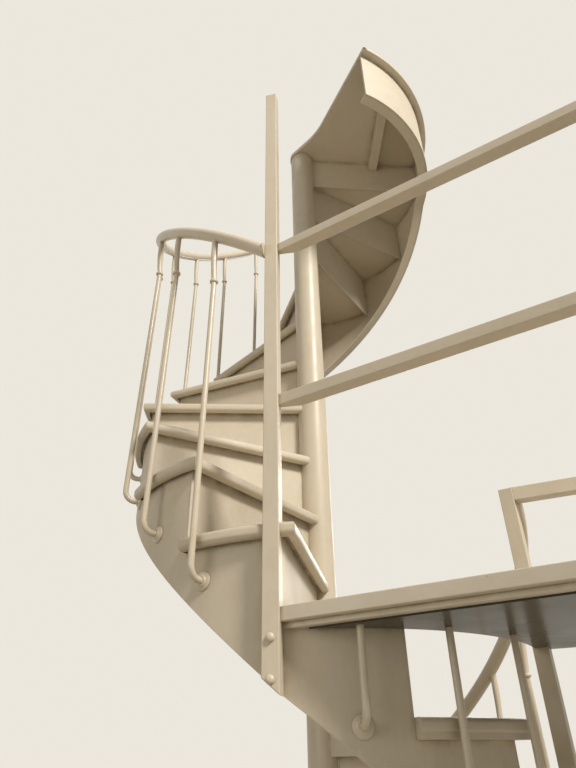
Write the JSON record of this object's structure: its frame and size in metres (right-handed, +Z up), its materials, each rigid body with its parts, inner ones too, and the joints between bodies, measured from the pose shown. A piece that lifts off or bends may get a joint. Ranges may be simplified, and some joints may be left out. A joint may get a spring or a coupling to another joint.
{
  "type": "spiral staircase with a landing platform",
  "caption": "Tall painted steel spiral staircase with closed risers, a saw-tooth helical string, a round handrail on slim balusters and a railed landing platform part of the way up.",
  "frame": {"origin": "on the newel's axis at floor level, at the underside of the newel's foot plate", "axes": "+Z up the newel's axis; -Y towards the front from which the stair is seen; +X to the right of that view, where the platform lies"},
  "size_m": [1.7384, 1.7464, 4.099],
  "materials": {
    "paint": "semi-gloss cream paint",
    "soffit": "high-gloss dark lacquer"
  },
  "bodies": {
    "root": {"newel_tube": "paint", "newel_foot": "paint", "lower_tread_1": "paint", "lower_tread_2": "paint", "lower_tread_3": "paint", "lower_tread_4": "paint", "lower_tread_5": "paint", "lower_tread_6": "paint", "lower_tread_7": "paint", "lower_tread_8": "paint", "platform_tread": "paint", "upper_tread_1": "paint", "upper_tread_2": "paint", "upper_tread_3": "paint", "upper_tread_4": "paint", "upper_tread_5": "paint", "upper_tread_6": "paint", "upper_tread_7": "paint", "upper_tread_8": "paint", "upper_tread_9": "paint", "upper_tread_10": "paint", "lower_risers": "paint", "upper_risers": "paint", "lower_string": "paint", "upper_string": "paint", "string_flange": "paint", "lower_handrail": "paint", "upper_handrail": "paint", "rail_end_plates": "paint", "lower_balusters": "paint", "upper_balusters": "paint", "rosettes": "paint", "front_post": "paint", "back_post": "paint", "foot_post": "paint", "end_post": "paint", "platform_boards": "paint", "platform_soffit": "soffit", "platform_edge": "paint", "mid_guard_rail": "paint", "top_guard_rail": "paint", "back_guard_rail": "paint", "landing_plate": "paint", "landing_joist": "paint"}
  },
  "joints": []
}
